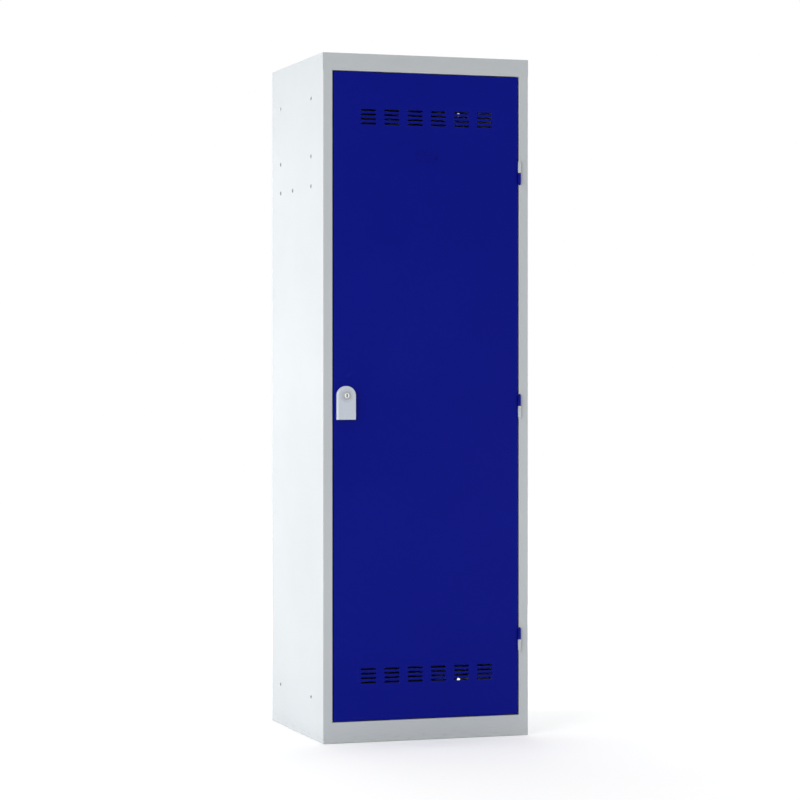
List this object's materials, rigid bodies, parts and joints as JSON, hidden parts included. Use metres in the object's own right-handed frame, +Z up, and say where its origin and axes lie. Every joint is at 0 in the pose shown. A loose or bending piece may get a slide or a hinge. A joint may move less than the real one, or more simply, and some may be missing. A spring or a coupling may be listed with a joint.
{
  "type": "metal locker",
  "caption": "Tall single-door clothes locker in folded sheet steel with vent slots, hat shelf, hanging rail, cam lock with finger pull and lift-off hinges.",
  "frame": {"origin": "middle of the footprint of the whole part, lock grip included, on the floor", "axes": "+Z up, the door faces -Y, +X to the right seen from the front"},
  "size_m": [0.5726, 0.5156, 1.8],
  "materials": {
    "frame_paint": "light grey powder coat, satin",
    "door_paint": "deep blue powder coat, satin",
    "housing_plastic": "light grey moulded plastic, fine grain",
    "lock_metal": "plated, lightly brushed",
    "plated_steel": "zinc plated",
    "rivet_metal": "bare, dull",
    "socket_plastic": "dark moulded plastic",
    "washer_brass": "plain",
    "buffer_rubber": "soft black rubber"
  },
  "bodies": {
    "carcass": {"left_side_panel": "frame_paint", "right_side_panel": "frame_paint", "roof_panel": "frame_paint", "plinth_front": "frame_paint", "floor_panel": "frame_paint", "back_panel": "frame_paint", "hat_shelf": "frame_paint", "hinge_frame_half_top": "frame_paint", "hinge_frame_half_middle": "frame_paint", "hinge_frame_half_bottom": "frame_paint", "hanging_rail": "plated_steel", "coat_hook_left_front": "plated_steel", "coat_hook_left_rear": "plated_steel", "coat_hook_right_front": "plated_steel", "coat_hook_right_rear": "plated_steel", "hinge_pin_top": "plated_steel", "hinge_pin_middle": "plated_steel", "hinge_pin_bottom": "plated_steel", "shelf_rivets": "rivet_metal", "rail_rivets": "rivet_metal", "hook_rivets": "rivet_metal", "rail_socket_left": "socket_plastic", "rail_socket_right": "socket_plastic", "hinge_washer_top": "washer_brass", "hinge_washer_middle": "washer_brass", "hinge_washer_bottom": "washer_brass", "door_buffers": "buffer_rubber"},
    "door": {"door_panel": "door_paint", "door_stiffener": "door_paint", "label_holder": "door_paint", "hinge_door_half_top": "door_paint", "hinge_door_half_middle": "door_paint", "hinge_door_half_bottom": "door_paint", "lock_housing": "housing_plastic", "lock_cylinder": "lock_metal", "lock_nut": "plated_steel", "lock_screws": "plated_steel"},
    "lock_plug": {"lock_plug": "lock_metal", "lock_cam": "plated_steel", "cam_screw": "plated_steel"}
  },
  "joints": [
    {"name": "door_hinge", "type": "hinge", "parent": "carcass", "child": "door", "pos_m": [0.259, -0.24625, 0.877], "axis": [0, 0, 1], "range_deg": [0, 180]},
    {"name": "lock_turn", "type": "hinge", "parent": "door", "child": "lock_plug", "pos_m": [-0.224, -0.24225, 0.9065], "axis": [0, 1, 0], "range_deg": [0, 90]}
  ]
}
